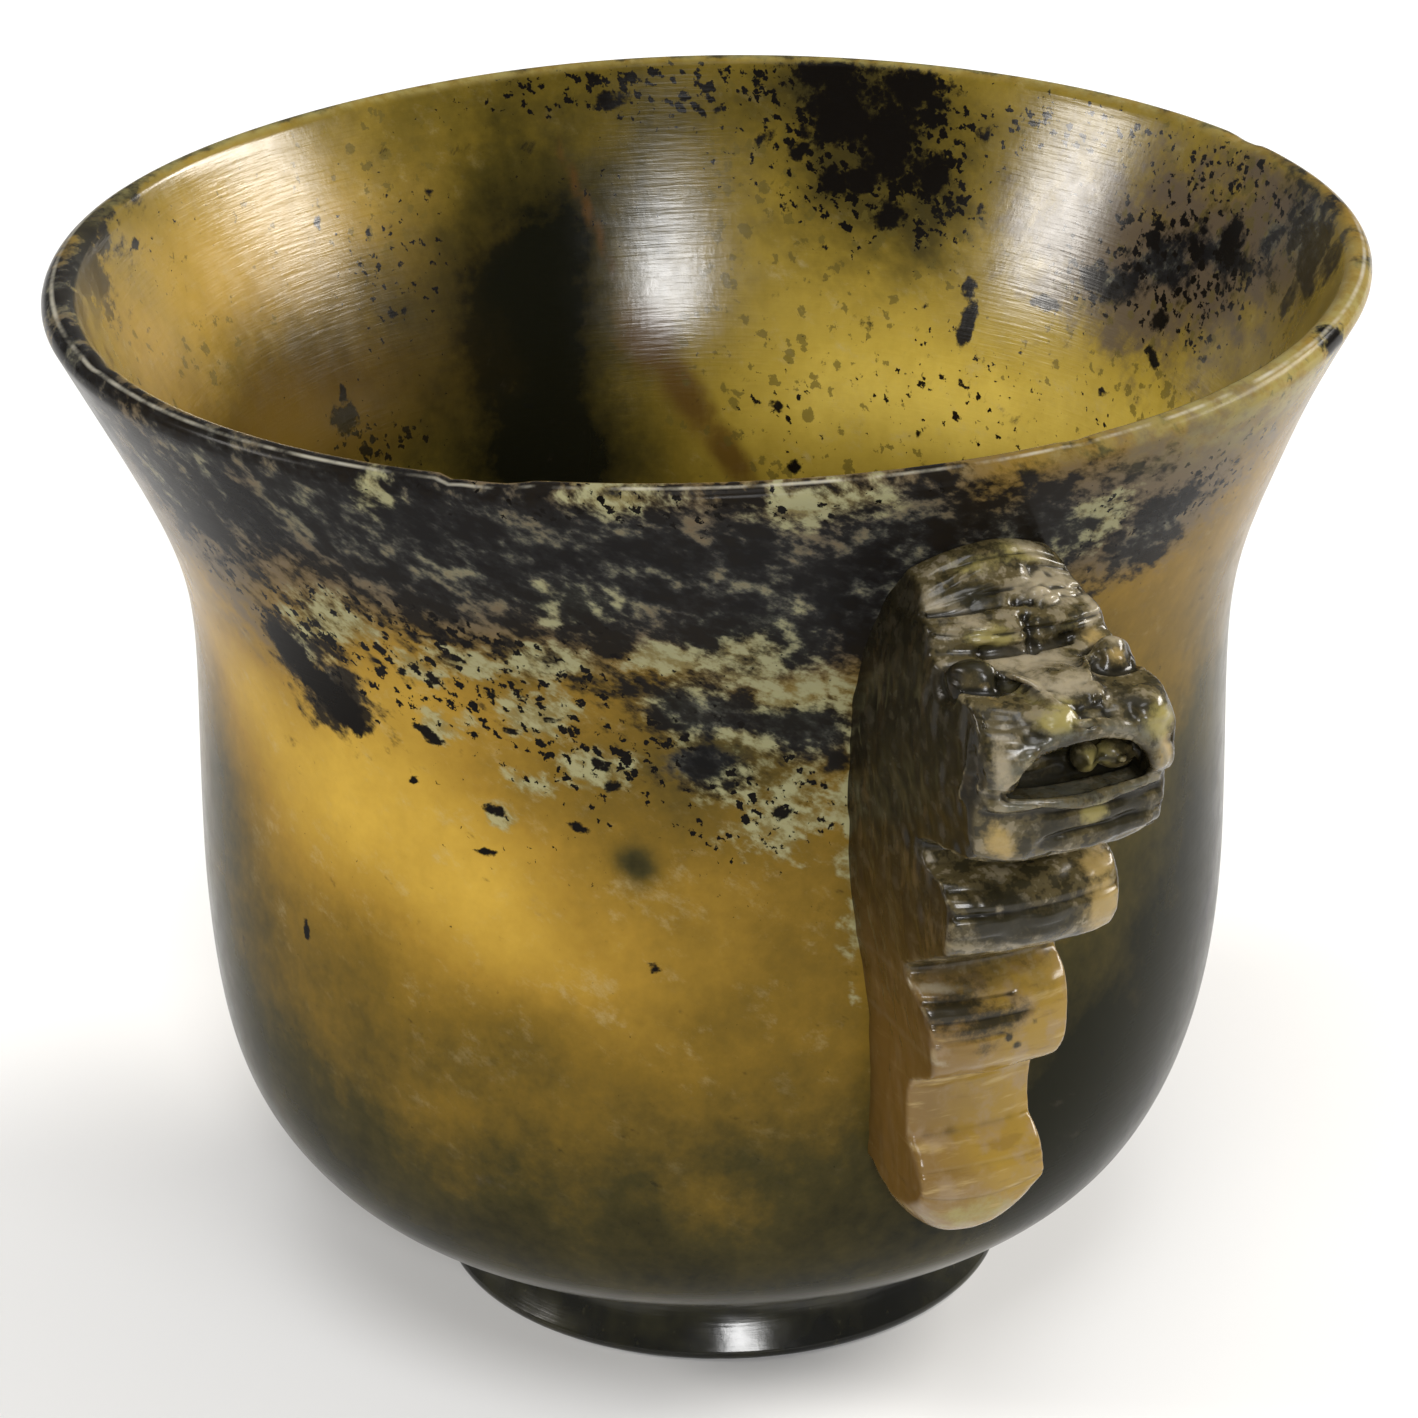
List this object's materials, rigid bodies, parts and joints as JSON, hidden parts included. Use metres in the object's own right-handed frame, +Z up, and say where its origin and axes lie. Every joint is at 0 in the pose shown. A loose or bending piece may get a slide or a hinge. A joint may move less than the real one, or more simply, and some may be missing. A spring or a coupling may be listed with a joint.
{
  "type": "jade cup",
  "caption": "Carved stone drinking cup with a flared lip, rounded belly, low foot ring and beast-head flange handles set opposite each other.",
  "frame": {"origin": "centre of the foot ring's underside, on the cup's axis", "axes": "+Z up along the cup's axis; +X out through the right-hand handle, the longest way across; +Y completes the frame"},
  "size_m": [0.1146, 0.09, 0.0757],
  "materials": {
    "jade_body": "polished, slightly translucent amber-olive jade with dark clouds and specks",
    "jade_foot": "polished dark green jade",
    "jade_handle": "polished olive-brown jade",
    "jade_head": "polished grey-olive jade with pale edges"
  },
  "bodies": {
    "root": {"bowl": "jade_body", "foot_ring": "jade_foot", "right_flange": "jade_handle", "right_beast_head": "jade_head", "left_flange": "jade_handle", "left_beast_head": "jade_head"}
  },
  "joints": []
}
